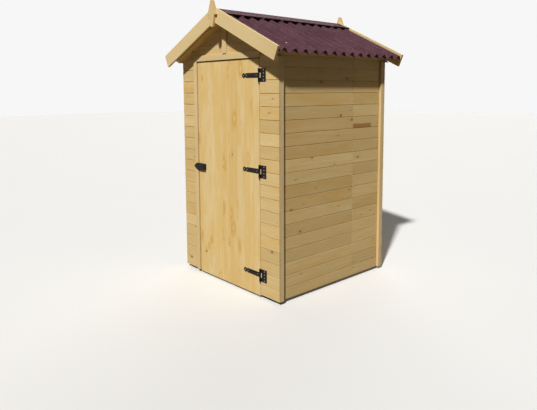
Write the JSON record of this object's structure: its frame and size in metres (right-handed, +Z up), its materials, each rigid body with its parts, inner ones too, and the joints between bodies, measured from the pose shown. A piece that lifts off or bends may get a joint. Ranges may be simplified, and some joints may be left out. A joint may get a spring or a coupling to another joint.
{
  "type": "garden shed",
  "caption": "Small apex garden shed of softwood boards on a light frame, with one hinged boarded door and a corrugated bitumen roof between finial-topped barge boards.",
  "frame": {"origin": "on the ground under the middle of the shed's base", "axes": "+X right along the front, +Y from the door into the depth, +Z up; the front faces -Y"},
  "size_m": [1.3582, 1.392, 2.1134],
  "materials": {
    "wall_pine": "satin",
    "frame_pine": "matte",
    "planed_pine": "satin",
    "door_pine": "satin",
    "bearer_timber": "matte",
    "bitumen_sheet": "matte",
    "black_iron": "satin"
  },
  "bodies": {
    "shed": {"bearers": "bearer_timber", "floor_deck": "frame_pine", "front_boards_left": "wall_pine", "front_boards_right": "wall_pine", "front_gable_boards": "wall_pine", "front_corner_posts": "frame_pine", "door_posts": "frame_pine", "door_head": "frame_pine", "front_sole_rails": "frame_pine", "back_boards": "wall_pine", "back_posts": "frame_pine", "back_sole_rail": "frame_pine", "gable_rails": "frame_pine", "left_boards_front": "wall_pine", "left_boards_rear": "wall_pine", "left_studs": "frame_pine", "left_rails": "frame_pine", "right_boards_front": "wall_pine", "right_boards_rear": "wall_pine", "right_studs": "frame_pine", "right_rails": "frame_pine", "jamb_strip": "frame_pine", "lintel": "frame_pine", "gable_centre_strip": "frame_pine", "eave_purlins": "frame_pine", "mid_purlins": "frame_pine", "ridge_purlins": "frame_pine", "front_verge_rafters": "frame_pine", "rear_verge_rafters": "frame_pine", "roof_sheet_left": "bitumen_sheet", "roof_sheet_right": "bitumen_sheet", "ridge_cap": "bitumen_sheet", "front_barge_left": "planed_pine", "front_barge_right": "planed_pine", "rear_barge_left": "planed_pine", "rear_barge_right": "planed_pine", "front_finial": "planed_pine", "rear_finial": "planed_pine", "hinge_plates": "black_iron"},
    "door": {"door_leaf": "door_pine", "door_ledges": "door_pine", "door_braces": "door_pine", "hinge_straps": "black_iron", "door_latch": "black_iron"}
  },
  "joints": [
    {"name": "door_swing", "type": "hinge", "parent": "shed", "child": "door", "pos_m": [0.378, -0.582, 0.9], "axis": [0, 0, 1], "range_deg": [0, 170]}
  ]
}
